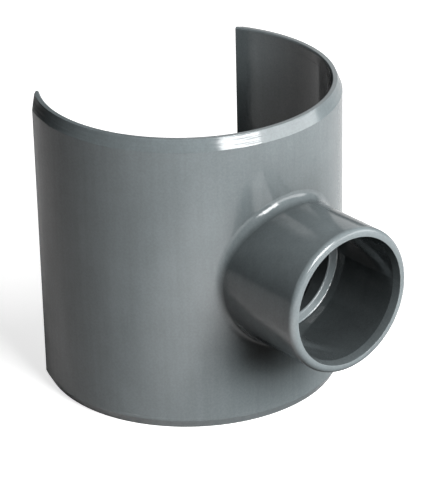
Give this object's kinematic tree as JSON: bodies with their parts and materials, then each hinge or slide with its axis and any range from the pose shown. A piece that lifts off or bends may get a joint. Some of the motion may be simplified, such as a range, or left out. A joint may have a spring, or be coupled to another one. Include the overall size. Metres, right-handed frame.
{
  "type": "tapping saddle",
  "caption": "Grey moulded pipe saddle: a snap-over shell for a large drain pipe with a square socket branch for a smaller pipe.",
  "frame": {"origin": "where the main pipe's axis crosses the branch's axis, at half the shell's length", "axes": "+Z along the main pipe, +X along the branch towards its mouth, +Y across"},
  "size_m": [0.102, 0.1, 0.0996],
  "materials": {
    "moulded_pvc": "satin-gloss rigid PVC as moulded, mid grey with a slight blue cast"
  },
  "bodies": {
    "root": {"saddle": "moulded_pvc"}
  },
  "joints": []
}
